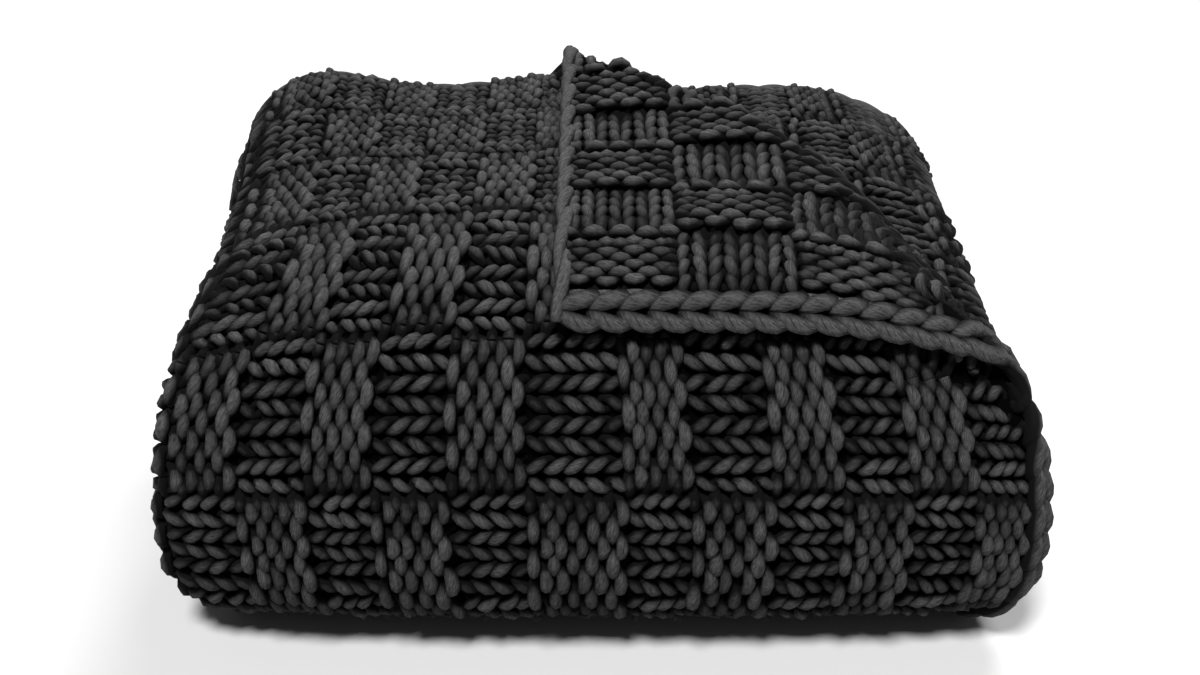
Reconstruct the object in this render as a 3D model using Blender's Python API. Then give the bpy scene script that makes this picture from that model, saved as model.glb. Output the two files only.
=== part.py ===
"""Chunky-knit throw, folded into a pile with one corner of its top ply turned over.

The throw is one knitted panel. It is modelled flat, scored along the lines where it bends, given the
knit's thickness, and then folded in the order that a hand folds it: one corner is turned over, the
panel is folded in three along its length, and that strip is folded in four.

Metres, +Z up. The pile rests on Z = 0, with the origin under the middle of its box.
"""

import math
from collections import namedtuple

import bmesh
import bpy
import numpy as np

NAME = "throw"

# The knitted panel, laid flat: U runs along its length, V across it, W through its thickness
PANEL_LENGTH = 1.524
PANEL_WIDTH = 1.220
PLY = 0.0178
GAP = 0.0017
PITCH = PLY + GAP
PLIES = 3
BEND_RADIUS = PITCH / 2

# The corner at U = 0, V = 0 is turned over along a line at 45 degrees
CORNER_LEG = 0.293
CORNER_BEND = math.pi * BEND_RADIUS
CORNER_STEPS = 6
SCORE_SNAP = 0.0002

# Folding in three makes a strip of three plies
HALF_WIDTH = 0.265
EDGE_INSET = 0.012
OUTER_PLY = 2 * HALF_WIDTH - PITCH - EDGE_INSET
INNER_PLY = 2 * HALF_WIDTH - 2 * PITCH
SIDE_BEND = math.pi * BEND_RADIUS
STRIP = PLIES * PLY + (PLIES - 1) * GAP
STRIP_PITCH = PLIES * PITCH
PLY_STEPS = 10
SIDE_BEND_STEPS = 6

# Folding that strip in four makes the pile; the front is rounded high and tight at the floor
STRIPS = 4
HEIGHT = STRIPS * STRIP_PITCH - GAP
TUCK = 0.012

Arc = namedtuple("Arc", "outer_radius degrees steps")
FRONT = (
    Arc(0.088, 35.0, 3),
    Arc(0.145, 35.0, 3),
    Arc(0.220, 20.0, 2),
)
FRONT_FOOT_DEGREES = 90.0
FRONT_FOOT_STEPS = 6
INNER_FOLD_STEPS = 7
RUN_STEPS = 5

# How the pile settles: it is widest low down, a little domed, and rounded at its corners
WIDEST_HEIGHT = 0.105
TOP_NARROWING = 0.17
FOOT_NARROWING = 0.12
DOME = 0.001
BACK_TAPER = 0.045
LEAN = 0.006
END_DROOP = 0.026
CORNER_ROUNDING = 0.11
END_POWER = 4
HALF_DEPTH = 0.170
TOP_RUN_START = HALF_DEPTH

Swell = namedtuple("Swell", "x y reach_x reach_y rise")
SWELLS = (
    Swell(-0.235, 0.160, 0.065, 0.080, 0.030),
    Swell(0.030, 0.170, 0.110, 0.100, 0.015),
    Swell(0.200, 0.150, 0.120, 0.120, 0.028),
)

CHARCOAL = (0.036, 0.036, 0.038, 1.0)
CLOTH_ROUGHNESS = 0.95

Stretch = namedtuple("Stretch", "length turn steps")


def front_arcs():
    """The front's arcs at the strip's middle, the last one sized so that the strip drops to the floor."""
    rows = []
    heading = 0.0
    drop = 0.0
    for arc in FRONT:
        radius = arc.outer_radius - STRIP / 2
        turned = math.radians(arc.degrees)
        drop += radius * (math.cos(heading) - math.cos(heading + turned))
        rows.append(Stretch(radius * turned, turned, arc.steps))
        heading += turned
    turned = math.radians(FRONT_FOOT_DEGREES)
    full_drop = (STRIPS - 1) * STRIP_PITCH
    radius = (full_drop - drop) / (math.cos(heading) - math.cos(heading + turned))
    rows.append(Stretch(radius * turned, turned, FRONT_FOOT_STEPS))
    return rows


def reach_of(rows):
    """How far forward of its start a run of arcs ends."""
    heading = 0.0
    reach = 0.0
    for row in rows:
        radius = row.length / row.turn
        reach += radius * (math.sin(heading + row.turn) - math.sin(heading))
        heading += row.turn
    return reach


def strip_path():
    """The strip's middle line, from its free end at the top of the back to its end inside the pile."""
    front = front_arcs()
    inner_radius = STRIP_PITCH / 2
    inner_arc = math.pi * inner_radius
    foot_reach = reach_of(front)
    back_inset = inner_radius + STRIP / 2
    bends = sum(row.length for row in front) + 2 * inner_arc
    # The four runs are the top run plus or minus these, and together with the bends use up the width
    bottom_extra = foot_reach - back_inset
    inner_extra = -TUCK - back_inset
    upper_extra = -TUCK
    top_run = (PANEL_WIDTH - bends - bottom_extra - inner_extra - upper_extra) / STRIPS
    return [
        Stretch(top_run, 0.0, RUN_STEPS),
        *front,
        Stretch(top_run + bottom_extra, 0.0, RUN_STEPS),
        Stretch(inner_arc, math.pi, INNER_FOLD_STEPS),
        Stretch(top_run + inner_extra, 0.0, RUN_STEPS),
        Stretch(inner_arc, -math.pi, INNER_FOLD_STEPS),
        Stretch(top_run + upper_extra, 0.0, RUN_STEPS),
    ]


PATH = strip_path()


def path_lines():
    """The V of every line where the strip's path starts, ends or bends."""
    lines = []
    start = 0.0
    for row in PATH:
        lines += [start + row.length * step / row.steps for step in range(row.steps)]
        start += row.length
    return lines[1:]


def length_lines():
    """The U of every line across the panel: the three plies' lines lie over each other once folded."""
    middle = OUTER_PLY + SIDE_BEND
    inner = middle + INNER_PLY + SIDE_BEND
    lines = []
    for step in range(PLY_STEPS + 1):
        share = step / PLY_STEPS
        closer = (1.0 - math.cos(math.pi * share)) / 2
        run = INNER_PLY * (share + closer) / 2
        lines += [OUTER_PLY - run, middle + run, inner + INNER_PLY - run]
    for start in (OUTER_PLY, middle + INNER_PLY):
        lines += [start + SIDE_BEND * step / SIDE_BEND_STEPS for step in range(1, SIDE_BEND_STEPS)]
    return [line for line in sorted(lines) if line < PANEL_LENGTH]


def turn_over_corner(u, v, w):
    """Points past the corner's fold line go round a half turn and come back on top, upside down."""
    past = (CORNER_LEG - u - v) / math.sqrt(2)
    axis = PLY + GAP / 2
    arm = axis - w
    angle = np.clip(past, 0.0, CORNER_BEND) / BEND_RADIUS
    beyond = np.maximum(past - CORNER_BEND, 0.0)
    before = np.minimum(past, 0.0)
    shift = (before + arm * np.sin(angle) - beyond - past) / math.sqrt(2)
    return u - shift, v - shift, axis - arm * np.cos(angle)


def fold_in_three(u, v, w):
    """Along U: the outer ply runs to the left, the middle one back to the right, the inner one left."""
    first = np.clip(u - OUTER_PLY, 0.0, SIDE_BEND) / BEND_RADIUS
    second = np.clip(u - OUTER_PLY - SIDE_BEND - INNER_PLY, 0.0, SIDE_BEND) / BEND_RADIUS
    left_axis = HALF_WIDTH - EDGE_INSET - OUTER_PLY
    right_axis = left_axis + INNER_PLY
    upper_arm = w + GAP / 2
    lower_arm = PLY - w + GAP / 2
    outer_run = np.minimum(u, OUTER_PLY)
    middle_run = np.clip(u - OUTER_PLY - SIDE_BEND, 0.0, INNER_PLY)
    inner_run = np.maximum(u - OUTER_PLY - 2 * SIDE_BEND - INNER_PLY, 0.0)
    in_second = second > 0.0
    x_second = right_axis + lower_arm * np.sin(second) - inner_run
    x_first = HALF_WIDTH - EDGE_INSET - outer_run - upper_arm * np.sin(first) + middle_run
    height_second = PITCH - GAP / 2 + lower_arm * np.cos(second)
    height_first = 2 * PITCH - GAP / 2 + upper_arm * np.cos(first)
    return np.where(in_second, x_second, x_first), v, np.where(in_second, height_second, height_first)


def carry_along(x, v, height):
    """Along V: the strip follows its path, with the height in the strip measured outwards from it."""
    lengths = np.array([row.length for row in PATH])
    turns = np.array([row.turn for row in PATH])
    starts = np.cumsum(lengths) - lengths
    headings = np.cumsum(turns) - turns
    steps_y, steps_z = along_arc(lengths, headings, turns / lengths)
    place = np.clip(np.searchsorted(starts, v, side="right") - 1, 0, len(PATH) - 1)
    run = v - starts[place]
    bend = (turns / lengths)[place]
    step_y, step_z = along_arc(run, headings[place], bend)
    heading = headings[place] + bend * run
    offset = height - STRIP / 2
    start_y = TOP_RUN_START + np.cumsum(steps_y) - steps_y
    start_z = HEIGHT - STRIP / 2 + np.cumsum(steps_z) - steps_z
    y = start_y[place] + step_y - offset * np.sin(heading)
    z = start_z[place] + step_z + offset * np.cos(heading)
    return x, y, z


def along_arc(run, heading, bend):
    """The Y and Z step of a run that starts at a heading and turns evenly; 0 is level, towards -Y."""
    half = bend * run / 2
    chord = run * np.sinc(half / math.pi)
    return -chord * np.cos(heading + half), -chord * np.sin(heading + half)


def settle(x, y, z):
    """The folded block sags into a soft pile: smooth stretches that keep its underside flat."""
    above = np.maximum(z - WIDEST_HEIGHT, 0.0) / (HEIGHT - WIDEST_HEIGHT)
    below = np.maximum(WIDEST_HEIGHT - z, 0.0) / WIDEST_HEIGHT
    rightwards = (1.0 + x / HALF_WIDTH) / 2
    taper = BACK_TAPER * rightwards * (1.0 + y / HALF_DEPTH)
    narrowing = 1.0 - TOP_NARROWING * above**3 - FOOT_NARROWING * below**3 - taper
    across = np.abs(x / HALF_WIDTH) ** END_POWER
    along = np.minimum(np.abs(y / HALF_DEPTH), 1.0)
    rise = DOME - END_DROOP * across
    for swell in SWELLS:
        spread = ((x - swell.x) / swell.reach_x) ** 2 + ((y - swell.y) / swell.reach_y) ** 2
        rise = rise + swell.rise * np.exp(-spread)
    rounding = 1.0 - CORNER_ROUNDING * across * along
    return x * narrowing - LEAN * above, y * rounding, z * (1.0 + rise / HEIGHT)


def centre(x, y, z):
    """The pile moved so that the middle of its box is over the origin and its underside at zero."""
    return x - (x.min() + x.max()) / 2, y - (y.min() + y.max()) / 2, z - z.min()


def scored_panel():
    """The panel as a closed sheet of the knit's thickness, with its corner turned over.

    The corner's bend is scored first, and what is then two plies deep is scored along every later bend.
    """
    panel = bmesh.new()
    bmesh.ops.create_cube(panel, size=1.0)
    bmesh.ops.translate(panel, verts=panel.verts, vec=(0.5, 0.5, 0.5))
    bmesh.ops.scale(panel, verts=panel.verts, vec=(PANEL_LENGTH, PANEL_WIDTH, PLY))
    for step in range(CORNER_STEPS + 1):
        reach = CORNER_LEG - math.sqrt(2) * CORNER_BEND * step / CORNER_STEPS
        score(panel, (reach, 0.0, 0.0), (1.0, 1.0, 0.0))
    carry(panel, turn_over_corner)
    for line in length_lines():
        score(panel, (line, 0.0, 0.0), (1.0, 0.0, 0.0))
    for line in path_lines():
        score(panel, (0.0, line, 0.0), (0.0, 1.0, 0.0))
    bmesh.ops.triangulate(panel, faces=panel.faces[:], quad_method="FIXED")
    return panel


def score(panel, point, normal):
    """Cut a line across every ply of the panel without parting it."""
    everything = panel.verts[:] + panel.edges[:] + panel.faces[:]
    bmesh.ops.bisect_plane(panel, geom=everything, plane_co=point, plane_no=normal, dist=SCORE_SNAP)


def carry(panel, step):
    """Move every vertex to where one step of the folding takes it."""
    places = np.array([vertex.co[:] for vertex in panel.verts])
    for vertex, place in zip(panel.verts, np.stack(step(*places.T), axis=1)):
        vertex.co = place


def knit_material():
    """Matt charcoal yarn."""
    material = bpy.data.materials.new("charcoal_knit")
    material.use_nodes = True
    shader = material.node_tree.nodes["Principled BSDF"]
    shader.inputs["Base Color"].default_value = CHARCOAL
    shader.inputs["Roughness"].default_value = CLOTH_ROUGHNESS
    shader.inputs["Metallic"].default_value = 0.0
    material.diffuse_color = CHARCOAL
    return material


def folded_throw():
    """The one solid: the panel folded in three, carried along the strip's path and settled."""
    panel = scored_panel()
    carry(panel, fold_in_three)
    carry(panel, carry_along)
    carry(panel, settle)
    carry(panel, centre)
    mesh = bpy.data.meshes.new(NAME)
    panel.to_mesh(mesh)
    panel.free()
    mesh.shade_smooth()
    mesh.materials.append(knit_material())
    return bpy.data.objects.new(NAME, mesh)


def main():
    for item in list(bpy.data.objects):
        bpy.data.objects.remove(item, do_unlink=True)
    collection = bpy.data.collections.new("knit_throw")
    bpy.context.scene.collection.children.link(collection)
    collection.objects.link(folded_throw())


main()
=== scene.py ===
"""Looks of the folded chunky-knit throw: every stitch of bulky charcoal yarn, on the folds of the part.

The knit is worked out in stitch counts (wales across, courses along), laid on the flat panel, and
carried through the same folds as the solid. Metres, +Z up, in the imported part's frame.
"""

import math
from collections import namedtuple

import bpy
import numpy as np
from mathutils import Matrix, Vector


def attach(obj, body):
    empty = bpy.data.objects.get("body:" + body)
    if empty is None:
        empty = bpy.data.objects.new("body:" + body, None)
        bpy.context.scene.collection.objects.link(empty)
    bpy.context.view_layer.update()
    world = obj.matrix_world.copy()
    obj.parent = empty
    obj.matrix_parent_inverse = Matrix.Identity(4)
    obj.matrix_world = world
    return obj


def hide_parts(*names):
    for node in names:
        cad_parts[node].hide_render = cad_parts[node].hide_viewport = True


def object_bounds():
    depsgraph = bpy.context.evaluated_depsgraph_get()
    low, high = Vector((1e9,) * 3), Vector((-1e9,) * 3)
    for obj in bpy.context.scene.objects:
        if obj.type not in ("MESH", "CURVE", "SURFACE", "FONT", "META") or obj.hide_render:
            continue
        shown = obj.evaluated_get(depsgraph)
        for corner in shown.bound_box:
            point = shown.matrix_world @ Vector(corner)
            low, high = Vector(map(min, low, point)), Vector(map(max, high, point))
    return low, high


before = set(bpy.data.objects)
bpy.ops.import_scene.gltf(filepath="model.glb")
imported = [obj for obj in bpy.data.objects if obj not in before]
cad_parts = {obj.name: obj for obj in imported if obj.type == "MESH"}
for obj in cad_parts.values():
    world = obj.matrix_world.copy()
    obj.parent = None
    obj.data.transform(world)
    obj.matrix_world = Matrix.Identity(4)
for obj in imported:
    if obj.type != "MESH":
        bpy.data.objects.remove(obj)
CAD_LOW, CAD_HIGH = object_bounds()

BODY = "root"
NODE = "throw"

# ---- the panel, as the part has it: U along its length, V across it, W through its thickness
PANEL_LENGTH = 1.524
PANEL_WIDTH = 1.220
PLY = 0.0178
GAP = 0.0017
PITCH = PLY + GAP

# ---- its folds, as the part has them: one corner, then in three along U, and that strip in four along V
BEND_RADIUS = PITCH / 2
HALF_BEND = math.pi * BEND_RADIUS
"""The length of the panel that goes round a bend."""
CORNER_LEG = 0.293
PLIES = 3
HALF_WIDTH = 0.265
EDGE_INSET = 0.012
OUTER_PLY = 2 * HALF_WIDTH - PITCH - EDGE_INSET
INNER_PLY = 2 * HALF_WIDTH - 2 * PITCH
STRIP = PLIES * PLY + (PLIES - 1) * GAP
STRIP_PITCH = PLIES * PITCH
STRIPS = 4
HEIGHT = STRIPS * STRIP_PITCH - GAP
TUCK = 0.012

Arc = namedtuple("Arc", "outer_radius degrees")
FRONT = (
    Arc(0.088, 35.0),
    Arc(0.145, 35.0),
    Arc(0.220, 20.0),
)
"""The front's arcs, from the top down, before the one that turns its foot under."""
FRONT_FOOT_DEGREES = 90.0

# ---- how the pile settles, as the part does
WIDEST_HEIGHT = 0.105
TOP_NARROWING = 0.17
FOOT_NARROWING = 0.12
DOME = 0.001
BACK_TAPER = 0.045
LEAN = 0.006
END_DROOP = 0.026
CORNER_ROUNDING = 0.11
END_POWER = 4
HALF_DEPTH = 0.170

Swell = namedtuple("Swell", "x y reach_x reach_y rise")
SWELLS = (
    Swell(-0.235, 0.160, 0.065, 0.080, 0.030),
    Swell(0.030, 0.170, 0.110, 0.100, 0.015),
    Swell(0.200, 0.150, 0.120, 0.120, 0.028),
)

# ---- the corner's fold bows out past the solid's straight one, and the base under it stretches along
FOLD_BOW = 0.036
FOLD_BOW_SKEW = 0.90
FOLD_ROUNDS = 10
FOLD_MARGIN = 0.012
"""The corner's own stitches, and their fuller yarn, begin this far before its fold."""
UNSTRETCHED = 0.032
"""The base doesn't stretch this near the edge of the corner that covers it."""
LEAST_COVERED = 0.010
"""The shortest way over which it does."""

# ---- the basketweave: bands of courses along U and blocks of wales along V, with the U or V where each
# ends, on the base and on the turned-over corner; past them they are all of one size
Band = namedtuple("Band", "courses ends_at ends_at_on_corner")
KNIT_STARTS = Band(0, 0.006, 0.0145)
"""The first course lies this far in, past the bound-off chain."""
BANDS = (
    Band(4, 0.037, 0.038),
    Band(4, 0.075, 0.079),
    Band(4, 0.114, 0.131),
    Band(4, 0.153, 0.173),
    Band(4, 0.201, 0.228),
    Band(4, 0.238, 0.262),
    Band(5, 0.295, 0.297),
    Band(4, 0.339, 0.339),
    Band(4, 0.383, 0.383),
    Band(4, 0.421, 0.421),
    Band(4, 0.461, 0.461),
    Band(4, 0.506, 0.506),
)
PLAIN_BANDS = 24

Block = namedtuple("Block", "ends_at ends_at_on_corner middle")
BLOCKS = (
    Block(0.050, 0.077, 0.50),
    Block(0.105, 0.162, 0.50),
    Block(0.183, 0.245, 0.50),
    Block(0.271, 0.300, 0.61),
    Block(0.350, 0.355, 0.50),
    Block(0.4305, 0.4305, 0.50),
)
"""The middle is the share of the block's width that its first two wales take, away from the corner."""
PLAIN_BLOCKS = 10
WALES_IN_BLOCK = 4

CORNER_FAN = 0.10
CORNER_FAN_REACH = 0.030
CORNER_LINES_FADE_V = (0.293, 0.150)
"""The turned-over corner's own lines hold in full up to the second V, and not at all past the first."""
HIDDEN_MARGIN = 0.006

# ---- one stitch: its loop, as shares of a wale and a course
LOOP_BULGE = 0.26
LOOP_REACH = 0.77
KNIT_REACH = 0.94
PURL_ROW_SHIFT = 0.45
BLOCK_EDGE_WALE_SHIFT = 0.25
LEGS_AT = (0.25, 0.75)
KEYS = 4
"""Each stitch has four key points: sinker, leg, head, leg."""

# ---- its relief
LOOP_DEPTH = 0.0046
BLOCK_CURL = 0.0024
PURL_STANDS_OUT = 0.0009
BLOCK_EDGE_RISE = 0.0030
DIP = 0.0055

# ---- its yarn
YARN_RADIUS = 0.0030
YARN_PLUMPNESS = 0.22
PURL_FULLNESS = 1.13
FULL_STITCH_AREA = 0.0240 * 0.0113
"""A stitch this wide and this long has yarn at its full radius; smaller ones have thinner yarn."""
PACKING = 0.28
SCALE_RANGE = (0.78, 1.05)

# ---- where the reverse shows, knit legs lie straighter, lower and more evenly, and the yarn is fuller
CORNER_KNIT_BULGE = 0.19
CORNER_KNIT_REACH = 1.15
CORNER_KNIT_DEPTH = 0.60
CORNER_KNIT_PLUMPNESS = 0.12
CORNER_FULLNESS = 1.12
BEND_FULLNESS = 0.22

# ---- knit legs get as much painted light from their lift as purl rows do, though they lie this much lower
KNIT_LIFT = 0.0017
CORNER_KNIT_LIFT = 0.0034

# ---- the small unevenness of handmade stitches
SEED = 11
COURSE_UNEVENNESS = 0.055
WALE_UNEVENNESS = 0.020
DEPTH_UNEVENNESS = 0.00035
PLUMPNESS_UNEVENNESS = 0.060

# ---- the bound-off chain
CHAIN_PITCH = 0.0195
CHAIN_RADIUS = 0.0044
CHAIN_PLUMPNESS = 0.22
CHAIN_HALF_WIDTH = 0.0052
CHAIN_TEARDROP = 0.6
CHAIN_MIDDLE = 0.50
CHAIN_REACH = 0.80
CHAIN_DEPTH = 0.0030
CHAIN_RISE = 0.0030
CHAIN_TILT_DEGREES = 35.0
CHAIN_TILT_DEGREES_ON_BASE = 48.0
"""How far the chain leans from the face that shows, out towards the edge."""
CHAIN_TURNS_OVER = (0.285, 0.335)
"""Between these V it turns from the reverse, on the corner, to the outer face."""

# ---- the selvedges
CORD_RADIUS = 0.0033
CORD_PLUMPNESS = 0.28
CORD_THIN = 0.60
CORD_FULL_BEFORE = 0.020
CORD_THIN_AFTER = 0.010
"""A cord is full until this long before the end of its full stretch, and thin from this far after it."""
CORD_TWIST_RADIUS = 0.0028
CORD_TWIST_LENGTH = 0.052
CORD_RISE = 0.0030
CORD_OUT = 0.0025
EDGE_LIFT = 0.0066
# Edges get as much painted light from their lift as the loops' tops do.
"""Edges are rubbed as much as the loops' tops are."""

REST_CLEARANCE = 0.0002


# ------------------------------------------------------------------ the folds

def smooth_step(value, start, end):
    """0 before the start, 1 after the end, and t*t*(3 - 2t) between them."""
    share = np.clip((value - start) / (end - start), 0.0, 1.0)
    return share * share * (3.0 - 2.0 * share)


Stretch = namedtuple("Stretch", "length turn")


def front_arcs():
    """The front's arcs at the strip's middle line; the last is sized so that the strip drops to the floor."""
    rows = []
    heading = 0.0
    drop = 0.0
    for arc in FRONT:
        radius = arc.outer_radius - STRIP / 2
        turned = math.radians(arc.degrees)
        drop += radius * (math.cos(heading) - math.cos(heading + turned))
        rows.append(Stretch(radius * turned, turned))
        heading += turned
    turned = math.radians(FRONT_FOOT_DEGREES)
    full_drop = (STRIPS - 1) * STRIP_PITCH
    radius = (full_drop - drop) / (math.cos(heading) - math.cos(heading + turned))
    rows.append(Stretch(radius * turned, turned))
    return rows


def strip_path():
    """The strip's middle line as runs and arcs, from its end at the top of the back to its end inside."""
    front = front_arcs()
    headings = np.cumsum([0.0] + [row.turn for row in front])
    radii = [row.length / row.turn for row in front]
    foot_reach = sum(r * (math.sin(b) - math.sin(a)) for r, a, b in zip(radii, headings, headings[1:]))
    inner_radius = STRIP_PITCH / 2
    inner_arc = math.pi * inner_radius
    back_inset = inner_radius + STRIP / 2
    bends = sum(row.length for row in front) + 2 * inner_arc
    bottom_extra = foot_reach - back_inset
    inner_extra = -TUCK - back_inset
    top_run = (PANEL_WIDTH - bends - bottom_extra - inner_extra + TUCK) / STRIPS
    return [
        Stretch(top_run, 0.0),
        *front,
        Stretch(top_run + bottom_extra, 0.0),
        Stretch(inner_arc, math.pi),
        Stretch(top_run + inner_extra, 0.0),
        Stretch(inner_arc, -math.pi),
        Stretch(top_run - TUCK, 0.0),
    ]


PATH = strip_path()


def along_fold(u, v):
    """A place's share of the way along the corner's fold, from the bound-off edge to the back one."""
    return np.clip((u - v) / (2.0 * CORNER_LEG) + 0.5, 0.0, 1.0)


def fold_bow(u, v):
    """How far the fold's line bows out past the solid's straight one.

    Half a sine wave along the fold, fuller at its start: bow sin(pi s) (1 + skew (1 - 2s)).
    """
    share = along_fold(u, v)
    return FOLD_BOW * np.sin(math.pi * share) * (1.0 + FOLD_BOW_SKEW * (1.0 - 2.0 * share))


def past_fold(u, v):
    """How far a place lies past the start of the corner's fold; below zero it is on the base."""
    return (CORNER_LEG - u - v) / math.sqrt(2) + fold_bow(u, v)


def fold_place(u, margin):
    """The V of the fold's line at a U, and a margin past it: each round puts the bow at the last V in it."""
    v = CORNER_LEG - u
    for _ in range(FOLD_ROUNDS):
        v = CORNER_LEG - u + math.sqrt(2) * (fold_bow(u, v) + margin)
    return v


def turn_over_corner(u, v, w):
    """Points past the corner's fold line go round a half turn and come back on top, upside down.

    The turned-over part lies where it would without the bow. The base stretches out to the bowed
    line by a smooth step, which starts inside the edge of the part that covers it.
    """
    bow = fold_bow(u, v)
    past = past_fold(u, v)
    axis = PLY + GAP / 2
    arm = axis - w
    angle = np.clip(past, 0.0, HALF_BEND) / BEND_RADIUS
    beyond = np.maximum(past - HALF_BEND, 0.0)
    before = np.minimum(past, 0.0)
    corner_depth = (1.0 - np.abs(2.0 * along_fold(u, v) - 1.0)) * CORNER_LEG / math.sqrt(2)
    covered = np.maximum(corner_depth - HALF_BEND - UNSTRETCHED, LEAST_COVERED)
    stretch = smooth_step(before, -covered, 0.0)
    outwards = before + arm * np.sin(angle) - beyond + bow * (2.0 * stretch - 1.0)
    shift = (outwards - (past - bow)) / math.sqrt(2)
    return u - shift, v - shift, axis - arm * np.cos(angle)


def fold_in_three(u, v, w):
    """Along U: the outer ply runs to the left, the middle one back to the right, the inner one left.

    Each bend is half a turn about an axis in the gap between two plies.
    """
    first = np.clip(u - OUTER_PLY, 0.0, HALF_BEND) / BEND_RADIUS
    second = np.clip(u - OUTER_PLY - HALF_BEND - INNER_PLY, 0.0, HALF_BEND) / BEND_RADIUS
    left_axis = HALF_WIDTH - EDGE_INSET - OUTER_PLY
    right_axis = left_axis + INNER_PLY
    upper_arm = w + GAP / 2
    lower_arm = PLY - w + GAP / 2
    outer_run = np.minimum(u, OUTER_PLY)
    middle_run = np.clip(u - OUTER_PLY - HALF_BEND, 0.0, INNER_PLY)
    inner_run = np.maximum(u - OUTER_PLY - 2 * HALF_BEND - INNER_PLY, 0.0)
    in_second = second > 0.0
    x_second = right_axis + lower_arm * np.sin(second) - inner_run
    x_first = HALF_WIDTH - EDGE_INSET - outer_run - upper_arm * np.sin(first) + middle_run
    height_second = PITCH - GAP / 2 + lower_arm * np.cos(second)
    height_first = 2 * PITCH - GAP / 2 + upper_arm * np.cos(first)
    return np.where(in_second, x_second, x_first), v, np.where(in_second, height_second, height_first)


def along_arc(run, heading, bend):
    """The Y and Z step of a run that starts at a heading and turns evenly; 0 is level, towards -Y."""
    half = bend * run / 2
    chord = run * np.sinc(half / math.pi)
    return -chord * np.cos(heading + half), -chord * np.sin(heading + half)


def carry_along(x, v, height):
    """Along V: the strip follows its path, with the height in the strip measured outwards from it."""
    lengths = np.array([row.length for row in PATH])
    turns = np.array([row.turn for row in PATH])
    starts = np.cumsum(lengths) - lengths
    headings = np.cumsum(turns) - turns
    steps_y, steps_z = along_arc(lengths, headings, turns / lengths)
    place = np.clip(np.searchsorted(starts, v, side="right") - 1, 0, len(PATH) - 1)
    run = v - starts[place]
    bend = (turns / lengths)[place]
    step_y, step_z = along_arc(run, headings[place], bend)
    heading = headings[place] + bend * run
    offset = height - STRIP / 2
    start_y = HALF_DEPTH + np.cumsum(steps_y) - steps_y
    start_z = HEIGHT - STRIP / 2 + np.cumsum(steps_z) - steps_z
    y = start_y[place] + step_y - offset * np.sin(heading)
    z = start_z[place] + step_z + offset * np.cos(heading)
    return x, y, z


def settle(x, y, z):
    """The folded block sags into a soft pile: smooth stretches that keep its underside flat.

    X narrows with the cube of the height over and under the widest place, and evenly towards the back
    on the right. Y rounds in towards the ends. Z grows by a share of itself: a dome, less a droop with
    a power of X, plus a bell curve for each swell.
    """
    above = np.maximum(z - WIDEST_HEIGHT, 0.0) / (HEIGHT - WIDEST_HEIGHT)
    below = np.maximum(WIDEST_HEIGHT - z, 0.0) / WIDEST_HEIGHT
    rightwards = (1.0 + x / HALF_WIDTH) / 2
    taper = BACK_TAPER * rightwards * (1.0 + y / HALF_DEPTH)
    narrowing = 1.0 - TOP_NARROWING * above**3 - FOOT_NARROWING * below**3 - taper
    across = np.abs(x / HALF_WIDTH) ** END_POWER
    along = np.minimum(np.abs(y / HALF_DEPTH), 1.0)
    rise = DOME - END_DROOP * across
    for swell in SWELLS:
        spread = ((x - swell.x) / swell.reach_x) ** 2 + ((y - swell.y) / swell.reach_y) ** 2
        rise = rise + swell.rise * np.exp(-spread)
    rounding = 1.0 - CORNER_ROUNDING * across * along
    return x * narrowing - LEAN * above, y * rounding, z * (1.0 + rise / HEIGHT)


def folded(u, v, w, shift=(0.0, 0.0, 0.0)):
    """Panel points U, V, W carried through every fold, as an array of X, Y, Z, less the shift."""
    return np.stack(settle(*carry_along(*fold_in_three(*turn_over_corner(u, v, w)))), axis=-1) - shift


SHIFT_LINES = (400, 320)
"""How many lines along U and V the pile's box is measured by."""


def pile_shift():
    """How far the folds leave the pile from its place: middle of the box in X and Y, lowest point in Z."""
    u, v, w = np.meshgrid(np.linspace(0.0, PANEL_LENGTH, SHIFT_LINES[0]),
                          np.linspace(0.0, PANEL_WIDTH, SHIFT_LINES[1]), (0.0, PLY), indexing="ij")
    points = folded(u, v, w).reshape(-1, 3)
    low, high = points.min(axis=0), points.max(axis=0)
    middle = (low + high) / 2 - (np.array(CAD_LOW) + np.array(CAD_HIGH)) / 2
    return np.array([middle[0], middle[1], low[2] - CAD_LOW[2]])


SHIFT = pile_shift()


# ------------------------------------------------------------------ the knit on the flat panel

def line_table(start, ends, counts, plain_cells, far_end):
    """Knit lines: how many courses or wales come before each, and where each lies on the panel.

    The first cells end where they say; plain cells of one size fill the rest of the panel.
    """
    counts = np.concatenate([counts, np.full(plain_cells, counts[-1])])
    plain = np.linspace(ends[-1], far_end, plain_cells + 1)[1:]
    return np.concatenate([[0], np.cumsum(counts)]), np.concatenate([[start], ends, plain])


def with_middles(lines, shares):
    """The same lines, with one more halfway through each cell's count, at a share of the cell's width."""
    counts, places = (np.asarray(row, dtype=float) for row in lines)
    shares = np.concatenate([shares, np.full(len(counts) - 1 - len(shares), 0.5)])
    middle_counts = (counts[1:] + counts[:-1]) / 2
    middle_places = places[:-1] + shares * np.diff(places)
    order = np.argsort(np.concatenate([counts, middle_counts]))
    return np.concatenate([counts, middle_counts])[order], np.concatenate([places, middle_places])[order]


def place_of(index, lines):
    """Where a knit line lies: read between the table's lines, and straight on past its two ends."""
    counts, places = lines
    first = (places[1] - places[0]) / (counts[1] - counts[0])
    last = (places[-1] - places[-2]) / (counts[-1] - counts[-2])
    over = np.minimum(index - counts[0], 0.0) * first + np.maximum(index - counts[-1], 0.0) * last
    return np.interp(index, counts, places) + over


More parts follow.
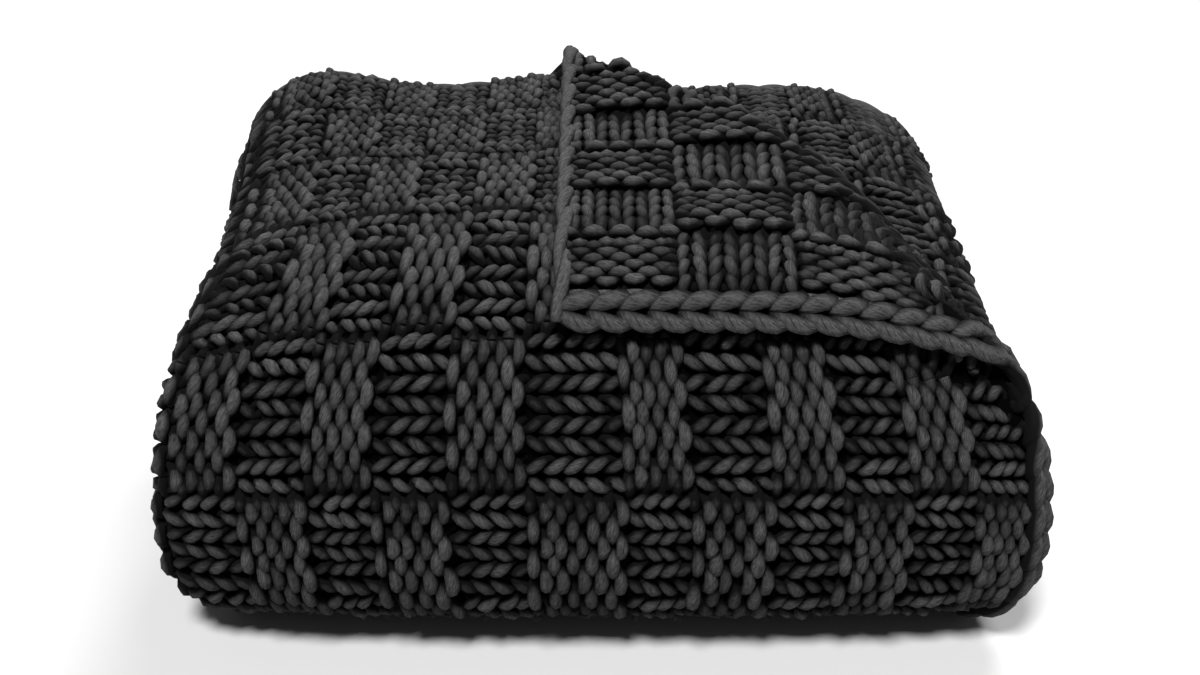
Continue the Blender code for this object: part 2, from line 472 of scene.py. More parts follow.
BAND_COURSES = [band.courses for band in BANDS]
COURSE_LINES = line_table(
    KNIT_STARTS.ends_at, [band.ends_at for band in BANDS], BAND_COURSES, PLAIN_BANDS, PANEL_LENGTH)
COURSE_LINES_ON_CORNER = line_table(
    KNIT_STARTS.ends_at_on_corner, [band.ends_at_on_corner for band in BANDS], BAND_COURSES, PLAIN_BANDS,
    PANEL_LENGTH)
BLOCK_WALES = [WALES_IN_BLOCK] * len(BLOCKS)
BLOCK_LINES = line_table(0.0, [block.ends_at for block in BLOCKS], BLOCK_WALES, PLAIN_BLOCKS, PANEL_WIDTH)
WALE_LINES = with_middles(BLOCK_LINES, [block.middle for block in BLOCKS])
WALE_LINES_ON_CORNER = line_table(
    0.0, [block.ends_at_on_corner for block in BLOCKS], BLOCK_WALES, PLAIN_BLOCKS, PANEL_WIDTH)
COURSES = int(COURSE_LINES[0][-1])
WALES = int(BLOCK_LINES[0][-1])


def knit_to_panel(course, wale):
    """U and V of a place counted in courses and wales; the turned-over corner has its own stretch.

    There the wales also fan out away from the bound-off edge, by 1 - exp(-U / reach). The stitches
    that its stretch leaves over lie bunched just inside the fold, where nothing shows.
    """
    u = place_of(course, COURSE_LINES)
    fan = 1.0 + CORNER_FAN * (1.0 - np.exp((KNIT_STARTS.ends_at_on_corner - u) / CORNER_FAN_REACH))
    turned = place_of(wale, WALE_LINES_ON_CORNER) * fan
    v = np.maximum(np.minimum(turned, fold_place(u, HIDDEN_MARGIN)), place_of(wale, WALE_LINES))
    near = smooth_step(v, *CORNER_LINES_FADE_V)
    return u + (place_of(course, COURSE_LINES_ON_CORNER) - u) * near, v


def in_cell(lines, count):
    """For each of a count of courses or wales: its cell, and its place in it from -1 to 1."""
    index = np.arange(count)
    edges = lines[0]
    cell = np.searchsorted(edges, index, side="right") - 1
    start, end = edges[cell], edges[cell + 1]
    return cell, (index + 0.5 - start) / (end - start) * 2.0 - 1.0


def shown_face(u, v):
    """+1 where the outer face shows; -1 where the reverse does: on the turned corner, past the first fold."""
    return np.where((past_fold(u, v) > 0.0) | (u > OUTER_PLY + HALF_BEND), -1.0, 1.0)


BAND_OF, ALONG = in_cell(COURSE_LINES, COURSES)
BLOCK_OF, ACROSS = in_cell(BLOCK_LINES, WALES)
FACE = np.where((BAND_OF[:, None] + BLOCK_OF[None, :]) % 2 == 0, 1.0, -1.0)
"""+1 where a stitch is knit on the outer face, -1 where it is purl."""

COURSE_MIDDLES, WALE_MIDDLES = np.meshgrid(np.arange(COURSES) + 0.5, np.arange(WALES) + 0.5, indexing="ij")
STITCH_U, STITCH_V = knit_to_panel(COURSE_MIDDLES, WALE_MIDDLES)
SHOWN = shown_face(STITCH_U, STITCH_V)
SHOWS_KNIT = SHOWN * FACE > 0.0
KNIT_ON_REVERSE = SHOWS_KNIT & (SHOWN < 0.0)
PURL_ON_OUTSIDE = ~SHOWS_KNIT & (SHOWN > 0.0)
# extra lift for knit legs, so that the yarn's painted shade leaves them as light as purl rows
PAINTED_SHADE_LIFT = np.where(SHOWN > 0.0, KNIT_LIFT, CORNER_KNIT_LIFT) * SHOWS_KNIT


def stitch_keys(sinker, leg, head):
    """A row of key values along each course, from the values at its sinkers, legs and heads."""
    keys = np.empty((COURSES, KEYS * WALES + 1))
    keys[:, 0::KEYS] = sinker
    keys[:, 1::KEYS] = leg
    keys[:, 2::KEYS] = head
    keys[:, 3::KEYS] = leg
    return keys


def beside_sinkers(values):
    """For each sinker of a course, what the stitches before and after it have."""
    return np.pad(values, ((0, 0), (1, 0)), "edge"), np.pad(values, ((0, 0), (0, 1)), "edge")


def at_sinkers(values):
    """For each sinker of a course, the mean of what the stitches before and after it have."""
    before, after = beside_sinkers(values)
    return (before + after) / 2


def at_heads(values):
    """For each head, what the stitch that holds it has, in the course nearer the bound-off edge."""
    return np.concatenate([values[:1], values[:-1]])


def depth_keys():
    """How far each key point lies from the panel's mid-surface, outwards.

    A knit stitch has its legs out and its sinker and head in; a head is held by the next course, so it
    takes that stitch's face. Blocks curl: a knit block rises at its first and last wale and sinks at
    its first and last course, and a purl block does the reverse.
    """
    curl = BLOCK_CURL * (ACROSS[None, :] ** 2 - ALONG[:, None] ** 2)
    relief = FACE * (curl - PURL_STANDS_OUT)
    depth = np.where(KNIT_ON_REVERSE, CORNER_KNIT_DEPTH, 1.0) * LOOP_DEPTH
    leg = FACE * depth + relief
    back = relief - FACE * depth
    sinker = at_sinkers(back)
    sinker[:, 1:-1] += SHOWN[:, 1:] * (FACE[:, 1:] != FACE[:, :-1]) * BLOCK_EDGE_RISE
    return stitch_keys(sinker, leg, at_heads(back))


def row_shift_keys():
    """Purl rows on the shown face lie nearer the bound-off edge, midway between the knit blocks' legs."""
    purl = 1.0 - SHOWS_KNIT
    sinker = np.maximum(*beside_sinkers(purl))
    return -PURL_ROW_SHIFT * stitch_keys(sinker, 0.0, at_heads(purl))


def fullness_keys():
    """Purl rows are fuller than knit ones on the outer face: a share added to the radius."""
    purl = PURL_ON_OUTSIDE.astype(float)
    return (PURL_FULLNESS - 1.0) * stitch_keys(at_sinkers(purl), purl, at_heads(purl))


def reach_keys():
    """How far a stitch reaches from sinker to head: further where its legs show, so they overlap."""
    reach = np.where(SHOWS_KNIT, np.where(KNIT_ON_REVERSE, CORNER_KNIT_REACH, KNIT_REACH), LOOP_REACH)
    return stitch_keys(at_sinkers(reach), reach, reach)


def wale_shift_keys():
    """At a block's side the yarn between the two blocks lies on the one that shows purl."""
    to_knit = np.pad(np.diff(SHOWS_KNIT.astype(float), axis=1), ((0, 0), (1, 1)))
    return stitch_keys(-BLOCK_EDGE_WALE_SHIFT * to_knit, 0.0, 0.0)


def dips():
    """Where a knit stitch meets a purl one its yarn dives between them, as plus or minus one.

    The last axis holds the stretch before its first leg, the one from leg to leg over its head, and
    the one after its second leg.
    """
    purl = 1.0 - SHOWS_KNIT
    before = np.pad(purl[:, :-1], ((0, 0), (1, 0)))
    after = np.pad(purl[:, 1:], ((0, 0), (0, 1)))
    return (FACE * SHOWS_KNIT)[:, :, None] * np.stack([before, at_heads(purl), after], axis=-1)


RANDOM = np.random.default_rng(SEED)


def uneven(size, middle=0.0):
    """Small random differences, one for each key point."""
    return RANDOM.normal(middle, size, (COURSES, KEYS * WALES + 1))


COURSE_KEYS = row_shift_keys() + uneven(COURSE_UNEVENNESS)
WALE_KEYS = wale_shift_keys() + uneven(WALE_UNEVENNESS)
DEPTH_KEYS = depth_keys() + uneven(DEPTH_UNEVENNESS)
FULLNESS_KEYS = fullness_keys() + uneven(PLUMPNESS_UNEVENNESS, 1.0)
REACH_KEYS = reach_keys()
DIPS = dips()


def at_keys(keys, courses, path):
    """Key values read along the courses, eased between one key point and the next by half a cosine."""
    place = path * KEYS
    before = np.minimum(place.astype(int), keys.shape[1] - 2)
    ease = (1.0 - np.cos(math.pi * (place - before))) / 2
    rows = keys[courses]
    return rows[:, before] * (1.0 - ease) + rows[:, before + 1] * ease


def stitch_path(courses, first_wale, last_wale, steps):
    """The yarn's centre line along whole courses, as course, wale, depth and radius.

    Across: c = t + bulge sin(4 pi t), which makes each loop narrow at its base and round at its head.
    Along: a = course + 1/2 + reach cos(2 pi t), from sinker to head and back: the heads point to the
    bound-off edge, where the knitting ended.
    The yarn is plumpest at its legs, head and sinker: radius (1 + plumpness cos(8 pi t)).
    A loop that dives does so by sin^2(4 pi t), between its legs and its head.
    """
    path = first_wale + np.arange((last_wale - first_wale) * steps + 1) / steps
    turn = 2.0 * math.pi * path
    stitch = np.minimum(path.astype(int), WALES - 1)
    on_reverse = KNIT_ON_REVERSE[courses][:, stitch]
    bulge = np.where(on_reverse, CORNER_KNIT_BULGE, LOOP_BULGE)
    wale = path + bulge * np.sin(2.0 * turn) + at_keys(WALE_KEYS, courses, path)
    course = courses[:, None] + 0.5 + at_keys(REACH_KEYS, courses, path) * np.cos(turn)
    course = course + at_keys(COURSE_KEYS, courses, path)
    stretch = np.digitize(path - stitch, LEGS_AT)
    dip = DIP * DIPS[courses][:, stitch, stretch] * np.sin(2.0 * turn) ** 2
    depth = at_keys(DEPTH_KEYS, courses, path) - dip
    plumpness = np.where(on_reverse, CORNER_KNIT_PLUMPNESS, YARN_PLUMPNESS)
    radius = YARN_RADIUS * (1.0 + plumpness * np.cos(4.0 * turn)) * at_keys(FULLNESS_KEYS, courses, path)
    return course, wale, depth, radius


# ------------------------------------------------------------------ yarn

NORMAL_STEP = 0.0005
"""The way out of the panel is the step between two points this far out and this far in."""
TINY = 1e-12


def unit(vectors):
    """Each vector at length one."""
    return vectors / np.maximum(np.linalg.norm(vectors, axis=-1, keepdims=True), TINY)


def lie_on_rest(points, radius):
    """Yarn that the pile rests on lies on the surface: its centre is never lower than its radius."""
    points[..., 2] = np.maximum(points[..., 2], radius + REST_CLEARANCE)
    return points


def tubes(u, v, w, radius, sides, height, shown, towards_edge=0.0, towards_face=1.0):
    """Rings of a tube round each centre line, framed by the path's tangent and one way out of the panel.

    The way out is a share of -U and a share of W. The height is how far out the centre line lies; the
    lift of each point of a ring is its own height, turned over where the other face shows. The yarn's
    material paints shade by it: darker deep in the knit and on each ring's underside, lighter on top.
    """
    centre = lie_on_rest(folded(u, v, w, SHIFT), radius)
    du, dw = -NORMAL_STEP * towards_edge, NORMAL_STEP * towards_face
    outward = folded(u + du, v, w + dw) - folded(u - du, v, w - dw)
    tangent = unit(np.gradient(centre, axis=1))
    side = unit(np.cross(tangent, outward))
    up = np.cross(side, tangent)
    angle = 2.0 * math.pi * np.arange(sides) / sides
    ring = np.cos(angle)[:, None] * side[:, :, None] + np.sin(angle)[:, None] * up[:, :, None]
    rings = centre[:, :, None] + radius[:, :, None, None] * ring
    steps = np.linalg.norm(np.diff(centre, axis=1), axis=2)
    length = np.concatenate([np.zeros((len(centre), 1)), np.cumsum(steps, axis=1)], axis=1)
    lift = shown[:, :, None] * (height[:, :, None] + radius[:, :, None] * np.sin(angle))
    return rings, length, lift


def finished_mesh(name, points, corners, counts, uv, material):
    """A smooth object from arrays of points, face corners, corners per face and their UV places."""
    mesh = bpy.data.meshes.new(name)
    mesh.vertices.add(len(points))
    mesh.vertices.foreach_set("co", points.astype(np.float32).reshape(-1))
    mesh.loops.add(len(corners))
    mesh.loops.foreach_set("vertex_index", corners.astype(np.int32))
    mesh.polygons.add(len(counts))
    mesh.polygons.foreach_set("loop_start", (np.cumsum(counts) - counts).astype(np.int32))
    mesh.update(calc_edges=True)
    layer = mesh.uv_layers.new(name="yarn")
    layer.data.foreach_set("uv", uv.astype(np.float32).reshape(-1))
    mesh.shade_smooth()
    mesh.materials.append(material)
    piece = bpy.data.objects.new(name, mesh)
    bpy.context.scene.collection.objects.link(piece)
    return piece


def tube_mesh(name, tube, kept, material):
    """A mesh of the kept stretches of tube rows, each with both ends closed.

    A side face spans ring t to t + 1 and side k to k + 1; an end is one flat face. The UV map holds the
    length along the yarn in metres, and the share of the way round it.
    """
    rings, length, lift = tube
    rows, marks, sides, _ = rings.shape
    row, mark = np.nonzero(kept)
    side = np.arange(sides)
    following = (side + 1) % sides
    near = (row * marks + mark)[:, None] * sides
    far = near + sides
    walls = np.stack([near + side, far + side, far + following, near + following], axis=-1).reshape(-1)
    start, end = length[row, mark][:, None], length[row, mark + 1][:, None]
    along = np.stack(np.broadcast_arrays(start, end, end, start), axis=-1)
    along = np.broadcast_to(along, (len(row), sides, 4)).reshape(-1)
    shares = np.stack([side, side, side + 1, side + 1], axis=-1) / sides
    around = np.broadcast_to(shares, (len(row), sides, 4)).reshape(-1)

    edge = np.zeros((rows, 1), dtype=bool)
    before = np.concatenate([edge, kept[:, :-1]], axis=1)
    after = np.concatenate([kept[:, 1:], edge], axis=1)
    start_row, start_mark = np.nonzero(kept & ~before)
    end_row, end_mark = np.nonzero(kept & ~after)
    starts = (start_row * marks + start_mark)[:, None] * sides + side
    ends = (end_row * marks + end_mark + 1)[:, None] * sides + side[::-1]
    cap_length = np.concatenate([length[start_row, start_mark], length[end_row, end_mark + 1]])
    corners = np.concatenate([walls, starts.reshape(-1), ends.reshape(-1)])
    along = np.concatenate([along, np.repeat(cap_length, sides)])
    around = np.concatenate([around, np.tile(side / sides, len(starts) + len(ends))])
    counts = np.concatenate([np.full(len(row) * sides, 4), np.full(len(starts) + len(ends), sides)])

    used, corners = np.unique(corners, return_inverse=True)
    points = rings.reshape(-1, 3)[used]
    piece = finished_mesh(name, points, corners, counts, np.stack([along, around], axis=-1), material)
    layer = piece.data.attributes.new("lift", "FLOAT", "POINT")
    layer.data.foreach_set("value", lift.reshape(-1)[used].astype(np.float32))
    return piece


def local_scale(course, wale):
    """How much thinner or fuller the yarn is drawn at a place.

    It is thinner where its stitches are packed: the stitch's area in the pile, as a share of a full
    one, to the power of the packing. It is fuller on the turned-over corner, by a smooth step at its
    fold, and most of all halfway round its bend, by half a sine wave.
    """
    near, along, across = (
        folded(*knit_to_panel(course + step, wale + side), PLY / 2, SHIFT)
        for step, side in ((0.0, 0.0), (0.5, 0.0), (0.0, 0.5)))
    area = 4.0 * np.linalg.norm(np.cross(along - near, across - near), axis=-1)
    past = past_fold(*knit_to_panel(course, wale))
    fullness = 1.0 + (CORNER_FULLNESS - 1.0) * smooth_step(past, -FOLD_MARGIN, 0.0)
    fullness = fullness + BEND_FULLNESS * np.sin(math.pi * np.clip(past / HALF_BEND, 0.0, 1.0))
    return np.clip((area / FULL_STITCH_AREA) ** PACKING, *SCALE_RANGE) * fullness


def knit_piece(name, stitches, steps, sides, material):
    """The kept stitches of the panel, a mask over courses and wales, as tubes of yarn."""
    courses = np.nonzero(stitches.any(axis=1))[0]
    courses = np.arange(courses[0], courses[-1] + 1)
    wales = np.nonzero(stitches.any(axis=0))[0]
    first, last = wales[0], wales[-1] + 1
    course, wale, depth, radius = stitch_path(courses, first, last, steps)
    u, v = knit_to_panel(course, wale)
    shown = shown_face(u, v)
    drawn = radius * local_scale(course, wale)
    at_course = np.clip(course.astype(int), 0, COURSES - 1)
    at_wale = np.clip(wale.astype(int), 0, WALES - 1)
    # the lift that the yarn's painted shade darkens by: the depth, raised on knit legs and by the radius the
    # drawn yarn loses
    height = depth + shown * (PAINTED_SHADE_LIFT[at_course, at_wale] + radius - drawn)
    tube = tubes(u, v, PLY / 2 + depth, drawn, sides, height, shown)
    kept = np.repeat(stitches[courses[0]:courses[-1] + 1, first:last], steps, axis=1)
    return tube_mesh(name, tube, kept, material)


def bound_off_chain(name, steps, sides, material):
    """The bound-off edge: a chain of closed links, between the panel's end and its first course.

    Along the edge: pitch (link + 1/2 - reach cos(2 pi t)). Across the chain: half width sin(2 pi t)
    (1 - teardrop cos(2 pi t)), so each link is a V that opens away from its start. Both legs lie
    high and both ends deep: rise - depth cos(4 pi t). The chain faces out past the edge, tilted to
    the face that shows, and turns over where the corner's fold starts.
    """
    turn = 2.0 * math.pi * np.arange(steps + 1)[None, :] / steps
    links = int(PANEL_WIDTH / CHAIN_PITCH)
    v = PANEL_WIDTH / links * (np.arange(links)[:, None] + 0.5 - CHAIN_REACH * np.cos(turn))
    on_corner = smooth_step(v, *CORNER_LINES_FADE_V)
    knit_starts = KNIT_STARTS.ends_at + (KNIT_STARTS.ends_at_on_corner - KNIT_STARTS.ends_at) * on_corner
    across = CHAIN_HALF_WIDTH * np.sin(turn) * (1.0 - CHAIN_TEARDROP * np.cos(turn))
    out = CHAIN_RISE - CHAIN_DEPTH * np.cos(2.0 * turn)
    on_base = smooth_step(v, *CHAIN_TURNS_OVER)
    tilts = 90.0 - CHAIN_TILT_DEGREES, 90.0 - CHAIN_TILT_DEGREES_ON_BASE
    faces = np.radians(tilts[1] * on_base - tilts[0] * (1.0 - on_base))
    u = knit_starts * CHAIN_MIDDLE - across * np.sin(faces) - out * np.cos(faces)
    w = PLY / 2 - across * np.cos(faces) + out * np.sin(faces)
    radius = np.broadcast_to(CHAIN_RADIUS * (1.0 - CHAIN_PLUMPNESS * np.cos(2.0 * turn)), v.shape)
    # the chain's lift for painted shade: light on its legs, dark at its deep ends
    height = np.broadcast_to(EDGE_LIFT - CHAIN_DEPTH * (1.0 + np.cos(2.0 * turn)), v.shape)
    tube = tubes(u, v, w, radius, sides, height, np.ones(v.shape), np.cos(faces), np.sin(faces))
    return tube_mesh(name, tube, np.ones((links, steps), dtype=bool), material)


def selvedge_cord(name, edge_v, full_until, step, sides, material):
    """A selvedge: two strands twisted round the edge V, each a helix along U.

    Across: twist radius cos(2 pi U / twist length), and as far out of the panel by the sine. The cord
    is full up to a U, and thinner and less twisted after it.
    """
    count = int(round(PANEL_LENGTH / step))
    u = np.linspace(0.0, PANEL_LENGTH, count + 1)[None, :]
    strand = np.array([[0.0], [math.pi]])
    turn = 2.0 * math.pi * u / CORD_TWIST_LENGTH + strand
    u = np.broadcast_to(u, turn.shape)
    full = smooth_step(full_until - u, -CORD_THIN_AFTER, CORD_FULL_BEFORE)
    fullness = CORD_THIN + (1.0 - CORD_THIN) * full
    twist = CORD_TWIST_RADIUS * fullness**2
    v = edge_v + twist * np.cos(turn)
    shown = shown_face(u, v)
    w = PLY / 2 + CORD_RISE * shown * fullness**2 + twist * np.sin(turn)
    radius = CORD_RADIUS * np.sqrt(fullness) * (1.0 + CORD_PLUMPNESS * fullness * shown * np.sin(turn))
    # the cord's lift for painted shade, turned over where the reverse shows
    tube = tubes(u, v, w, radius, sides, EDGE_LIFT * shown, shown)
    return tube_mesh(name, tube, np.ones((2, count), dtype=bool), material)


# ------------------------------------------------------------------ the ground the loops stand on: a near-black sheet, painted shade in the gaps between them

GROUND_DEPTH = 0.0028
GROUND_THICKNESS = 0.0012
GROUND_CROSSES_BY = 1.5
"""The ground changes sides past the corner's bend, over half its length more."""
GROUND_INSET = 0.0005
FINE_LINES = 0.005
COARSE_LINES = 0.012
CORNER_SPAN = 0.330


def panel_lines(length):
    """Grid lines along one side of the panel: close together across the corner, wider after it."""
    fine = np.arange(GROUND_INSET, CORNER_SPAN, FINE_LINES)
    count = int(round((length - GROUND_INSET - CORNER_SPAN) / COARSE_LINES))
    return np.concatenate([fine, np.linspace(CORNER_SPAN, length - GROUND_INSET, count)])


def shade_sheet_mesh(name, material):
    """A thin closed sheet on the panel's folds, behind the mid-surface from the face that shows. Its
    near-black colour is painted shade where it shows between the loops.

    Its place through the panel is half a ply, less the depth where the outer face shows and more by
    it where the reverse does, with a smooth step between them.
    """
    u, v = np.meshgrid(panel_lines(PANEL_LENGTH), panel_lines(PANEL_WIDTH), indexing="ij")
    on_corner = smooth_step(past_fold(u, v), HALF_BEND, GROUND_CROSSES_BY * HALF_BEND)
    inside = smooth_step(u, OUTER_PLY, OUTER_PLY + HALF_BEND)
    middle = PLY / 2 + GROUND_DEPTH * (2.0 * np.maximum(on_corner, inside) - 1.0)
    outer, inner = (
        lie_on_rest(folded(u, v, middle + side * GROUND_THICKNESS / 2, SHIFT), REST_CLEARANCE * (2 + side))
        for side in (1, -1))
    points = np.concatenate([outer.reshape(-1, 3), inner.reshape(-1, 3)])
    rows, columns = u.shape
    index = np.arange(rows * columns).reshape(rows, columns)
    top = np.stack([index[:-1, :-1], index[1:, :-1], index[1:, 1:], index[:-1, 1:]], axis=-1).reshape(-1, 4)
    bottom = top[:, ::-1] + rows * columns
    rim = np.concatenate([index[:, 0], index[-1, 1:], index[-2::-1, -1], index[0, -2:0:-1]])
    after = np.roll(rim, -1)
    wall = np.stack([after, rim, rim + rows * columns, after + rows * columns], axis=-1)
    corners = np.concatenate([top, bottom, wall])
    counts = np.full(len(corners), corners.shape[1])
    corners = corners.reshape(-1)
    flat = np.tile(np.stack([u, v], axis=-1).reshape(-1, 2), (2, 1))
    return finished_mesh(name, points, corners, counts, flat[corners], material)


# ------------------------------------------------------------------ materials

def linear(hex_colour):
    """An sRGB hex value as linear red, green, blue and alpha."""
    shares = [int(hex_colour[i:i + 2], 16) / 255.0 for i in (1, 3, 5)]
    return [s / 12.92 if s <= 0.04045 else ((s + 0.055) / 1.055) ** 2.4 for s in shares] + [1.0]


def add(tree, kind, settings=(), links=()):
    """Add one node, set its properties or inputs, and link its inputs from other nodes' outputs."""
    node = tree.nodes.new(kind)
    for key, value in dict(settings).items():
        if isinstance(key, str) and hasattr(node, key):
            setattr(node, key, value)
        else:
            node.inputs[key].default_value = value
    for key, source in dict(links).items():
        tree.links.new(source, node.inputs[key])
    return node


def plain_material(name, hex_colour, roughness, specular=0.5):
    """A new material with its shader's colour, roughness and specular level set."""
    material = bpy.data.materials.new(name)
    material.use_nodes = True
    shader = material.node_tree.nodes["Principled BSDF"]
    shader.inputs["Base Color"].default_value = linear(hex_colour)
    shader.inputs["Roughness"].default_value = roughness
    shader.inputs["Specular IOR Level"].default_value = specular
    return material, shader


YARN_DARK = "#0a0a0a"
YARN_LIGHT = "#525252"
YARN_ROUGHNESS = 0.88
YARN_SPECULAR = 0.12
FIBRE_LENGTH = 0.0034
FIBRE_WIDTH = 0.0005
FIBRE_TWIST = 0.045
FIBRE_RELIEF = 0.0008
FIBRE_NOISE = {"Scale": 1.0, "Detail": 6.0, "Roughness": 0.78}
FIBRES_DARK_AT, FIBRES_LIGHT_AT = 0.37, 0.68
# the lifts over which the yarn's painted shade goes from black to its full colour
PAINTED_SHADE_RANGE = {"From Min": 0.0058, "From Max": 0.0097, "To Min": 0.0, "To Max": 1.0}


def bulky_yarn():
    """Matt bulky yarn, loosely spun: long fibres lie along it in a slow twist and catch the light.

    The fibres are noise on a place made of the length along the yarn, and the cosine and sine of the
    way round it, turned once every twist length. The colour is theirs times a share that rises with the
    height over the panel's middle, read from the lift: painted shade, near black deep between the
    stitches and on the undersides of the strands, and lighter on their crowns.
    """
    material, shader = plain_material("bulky_acrylic_yarn", YARN_DARK, YARN_ROUGHNESS, YARN_SPECULAR)
    tree = material.node_tree
    uv = add(tree, "ShaderNodeUVMap", {"uv_map": "yarn"})
    parts = add(tree, "ShaderNodeSeparateXYZ", links={0: uv.outputs[0]})
    turns = add(tree, "ShaderNodeMath", {"operation": "MULTIPLY_ADD", 1: 1.0 / FIBRE_TWIST},
                {0: parts.outputs["X"], 2: parts.outputs["Y"]})
    angle = add(tree, "ShaderNodeMath", {"operation": "MULTIPLY", 1: 2.0 * math.pi}, {0: turns.outputs[0]})
    cosine = add(tree, "ShaderNodeMath", {"operation": "COSINE"}, {0: angle.outputs[0]})
    sine = add(tree, "ShaderNodeMath", {"operation": "SINE"}, {0: angle.outputs[0]})
    place = add(tree, "ShaderNodeCombineXYZ",
                links={0: parts.outputs["X"], 1: cosine.outputs[0], 2: sine.outputs[0]})
    around = YARN_RADIUS / FIBRE_WIDTH
    scaled = add(tree, "ShaderNodeVectorMath",
                 {"operation": "MULTIPLY", 1: (1.0 / FIBRE_LENGTH, around, around)}, {0: place.outputs[0]})
    fibres = add(tree, "ShaderNodeTexNoise", FIBRE_NOISE, {"Vector": scaled.outputs[0]})
    fibre_colour = add(tree, "ShaderNodeValToRGB", links={0: fibres.outputs["Fac"]})
    dark, light = fibre_colour.color_ramp.elements
    dark.position, dark.color = FIBRES_DARK_AT, linear(YARN_DARK)
    light.position, light.color = FIBRES_LIGHT_AT, linear(YARN_LIGHT)
    # painted shade: the colour is multiplied by a share that falls to black where the lift is low
    lift = add(tree, "ShaderNodeAttribute", {"attribute_name": "lift"})
    painted_shade_share = add(tree, "ShaderNodeMapRange", PAINTED_SHADE_RANGE, {"Value": lift.outputs["Fac"]})
    colour = add(tree, "ShaderNodeMix", {"data_type": "RGBA", "blend_type": "MULTIPLY", 0: 1.0},
                 {6: fibre_colour.outputs["Color"], 7: painted_shade_share.outputs[0]})
    bump = add(tree, "ShaderNodeBump", {"Strength": 1.0, "Distance": FIBRE_RELIEF},
               {"Height": fibres.outputs["Fac"]})
    tree.links.new(colour.outputs[2], shader.inputs["Base Color"])
    tree.links.new(bump.outputs[0], shader.inputs["Normal"])
    return material


# near black: painted shade in the gaps between the loops
SHADE_SHEET_COLOUR = "#020202"
SHADE_SHEET_ROUGHNESS = 1.0
SHADE_SHEET_SPECULAR = 0.02
FLUFF_NOISE = {"Scale": 900.0, "Detail": 2.0}
FLUFF_RELIEF = {"Strength": 0.5, "Distance": 0.0005}


def painted_shade_material():
    """The sheet behind the knit's loops: near black, painted shade in the gaps between them, with a
    millimetre fluff bump.
    """
    material, shader = plain_material("painted_shade_material", SHADE_SHEET_COLOUR, SHADE_SHEET_ROUGHNESS, SHADE_SHEET_SPECULAR)
    tree = material.node_tree
    place = add(tree, "ShaderNodeTexCoord")
    fluff = add(tree, "ShaderNodeTexNoise", FLUFF_NOISE, {"Vector": place.outputs["Object"]})
    bump = add(tree, "ShaderNodeBump", FLUFF_RELIEF, {"Height": fluff.outputs["Fac"]})
    tree.links.new(bump.outputs[0], shader.inputs["Normal"])
    return material


# ------------------------------------------------------------------ the throw

COVERED_U, COVERED_V = 0.258, 0.248
"""The turned-over corner covers the top ply up to here."""
UNDER_CORNER_MARGIN = 0.024
FRONT_STARTS = 0.271
FRONT_ENDS = 0.4305
UNDERSIDE_ENDS = 0.640
BACK_FOLD_ENDS = 0.785
FOLD_REACH = 0.045
END_REACH = 0.035

NARROWEST_WALE = 0.0075
FOLD_START_COURSES = 2
FOLD_START_CLEAR = 0.014
FOLD_START_BEND = 1.3
"""The first courses have no stitches from this far before the fold to this many bends after it."""

KnitPart = namedtuple("KnitPart", "name stitches steps sides")
"""A piece's stitches, the steps along each of them, and the sides of its yarn."""


def heaped_stitches():
    """Stitches that would lie in a heap, which are left out: inside the corner's fold and at its start."""
    course, wale = np.meshgrid(np.arange(COURSES) + 0.5, np.arange(WALES + 1.0), indexing="ij")
    narrow = np.diff(knit_to_panel(course, wale)[1], axis=1) < NARROWEST_WALE
    past = past_fold(STITCH_U, STITCH_V)
    near_fold = (past > -FOLD_START_CLEAR) & (past < FOLD_START_BEND * HALF_BEND)
    return narrow | (near_fold & (COURSE_MIDDLES < FOLD_START_COURSES))


def knit_parts():
    """Which stitches each piece holds, and how finely it is drawn: plies that nothing shows are left out.

    A stitch that two pieces could hold goes to the first of them.
    """
    u, v = STITCH_U, STITCH_V
    left_fold = OUTER_PLY + HALF_BEND / 2
    right_fold = OUTER_PLY + HALF_BEND * 1.5 + INNER_PLY
    outer = u < left_fold + FOLD_REACH
    corner = past_fold(u, v) > -FOLD_MARGIN
    covered = (u < COVERED_U) & (v < COVERED_V)
    under_corner = past_fold(2 * OUTER_PLY + HALF_BEND - u, v) > -UNDER_CORNER_MARGIN
    middle = (u > left_fold) & (u < right_fold)
    at_folds = (np.abs(u - left_fold) < FOLD_REACH) | (np.abs(u - right_fold) < FOLD_REACH)
    at_ends = (v < END_REACH) | (v > PANEL_WIDTH - END_REACH)
    wanted = (
        KnitPart("corner_knit", corner, 22, 8),
        KnitPart("top_knit", outer & (v < FRONT_STARTS) & ~covered, 20, 8),
        KnitPart("front_knit", outer & (v >= FRONT_STARTS) & (v < FRONT_ENDS), 22, 8),
        KnitPart("underside_knit", outer & (v >= FRONT_ENDS) & (v < UNDERSIDE_ENDS), 10, 5),
        KnitPart("back_fold_knit", outer & (v >= UNDERSIDE_ENDS) & (v < BACK_FOLD_ENDS), 14, 6),
        KnitPart("second_ply_knit", middle & under_corner & (v < CORNER_LEG + FOLD_MARGIN), 16, 7),
        KnitPart("side_folds_knit", at_folds, 12, 6),
        KnitPart("free_ends_knit", at_ends & ~covered, 12, 6),
    )
    taken = heaped_stitches()
    parts = []
    for part in wanted:
        parts.append(part._replace(stitches=part.stitches & ~taken))
        taken |= part.stitches
    return parts


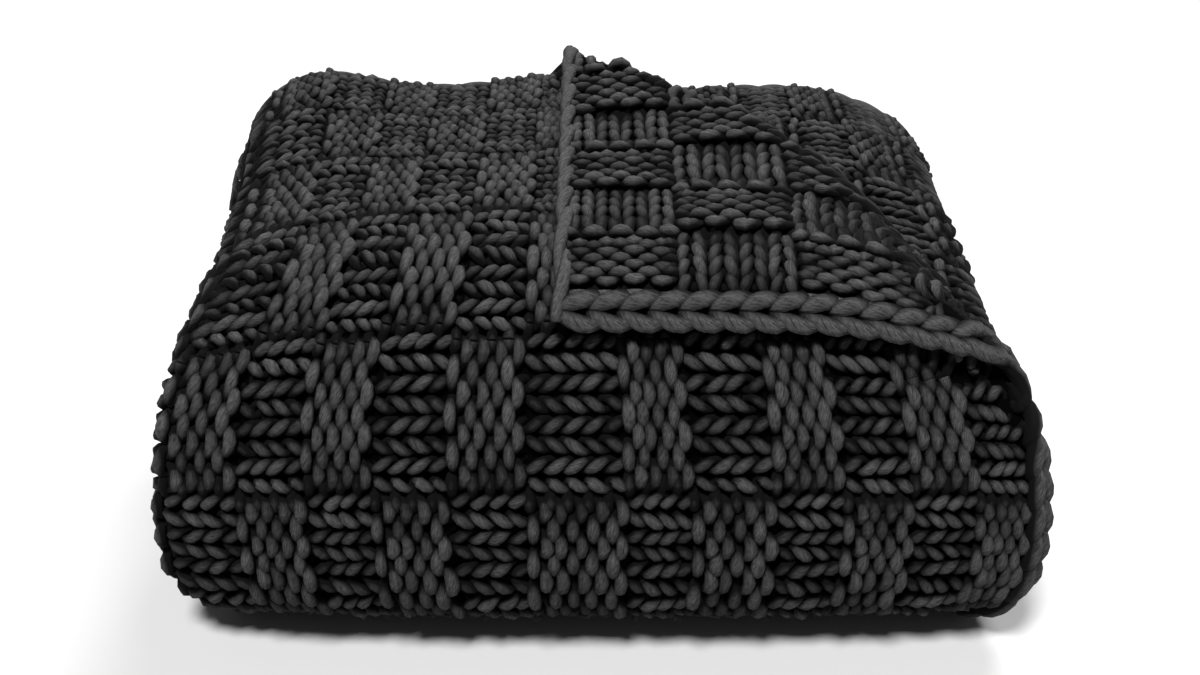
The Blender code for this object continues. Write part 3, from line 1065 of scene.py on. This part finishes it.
yarn = bulky_yarn()
knit = [knit_piece(*part, yarn) for part in knit_parts()]
knit.append(bound_off_chain("bound_off_edge", steps=20, sides=8, material=yarn))
knit.append(selvedge_cord(
    "back_selvedge", -CORD_OUT, full_until=CORNER_LEG, step=0.0025, sides=8, material=yarn))
knit.append(selvedge_cord(
    "inner_selvedge", PANEL_WIDTH + CORD_OUT, full_until=0.0, step=0.0035, sides=6, material=yarn))
# the near-black sheet of painted shade behind the loops
ground = shade_sheet_mesh("throw_shade_sheet", painted_shade_material())
for piece in [ground, *knit]:
    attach(piece, BODY)
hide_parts(NODE)


# ------------------------------------------------------------------ stage, light and camera

FLOOR_SIZE = 40.0
FLOOR_COLOUR = "#a4a4a4"
FLOOR_ROUGHNESS = 0.9
SURROUND_LIGHT = 0.15
WHITE = (1.0, 1.0, 1.0, 1.0)
CAMERA_PLACE = (0.0, -0.957, 0.720)
CAMERA_DOWN_DEGREES = 31.7
CAMERA_LENS_MM = 52.5
CAMERA_SENSOR_MM = 36.0


def floor():
    """A plain pale floor under the pile."""
    half = FLOOR_SIZE / 2
    points = np.array([(-half, -half, 0.0), (half, -half, 0.0), (half, half, 0.0), (-half, half, 0.0)])
    material, _ = plain_material("pale_floor", FLOOR_COLOUR, FLOOR_ROUGHNESS)
    return finished_mesh("floor", points, np.arange(4), np.array([4]), points[:, :2], material)


def soft_light(name, degrees_up, degrees_round, spread_degrees, strength):
    """A broad far light: its height over the floor, and its side, from the front towards the right."""
    light = bpy.data.lights.new(name, "SUN")
    light.angle = math.radians(spread_degrees)
    light.energy = strength
    lamp = bpy.data.objects.new(name, light)
    lamp.rotation_euler = (math.radians(90.0 - degrees_up), 0.0, math.radians(degrees_round))
    bpy.context.scene.collection.objects.link(lamp)


floor()
soft_light("key", degrees_up=65.0, degrees_round=-18.0, spread_degrees=14.0, strength=6.8)
soft_light("back_fill", degrees_up=50.0, degrees_round=150.0, spread_degrees=25.0, strength=4.0)

world = bpy.data.worlds.new("studio")
world.use_nodes = True
surround = world.node_tree.nodes["Background"].inputs
surround["Color"].default_value = WHITE
surround["Strength"].default_value = SURROUND_LIGHT
bpy.context.scene.world = world
bpy.context.scene.view_settings.view_transform = "Standard"

lens = bpy.data.cameras.new("camera")
lens.lens = CAMERA_LENS_MM
lens.sensor_width = CAMERA_SENSOR_MM
camera = bpy.data.objects.new("camera", lens)
camera.location = CAMERA_PLACE
camera.rotation_euler = (math.radians(90.0 - CAMERA_DOWN_DEGREES), 0.0, 0.0)
bpy.context.scene.collection.objects.link(camera)
bpy.context.scene.camera = camera
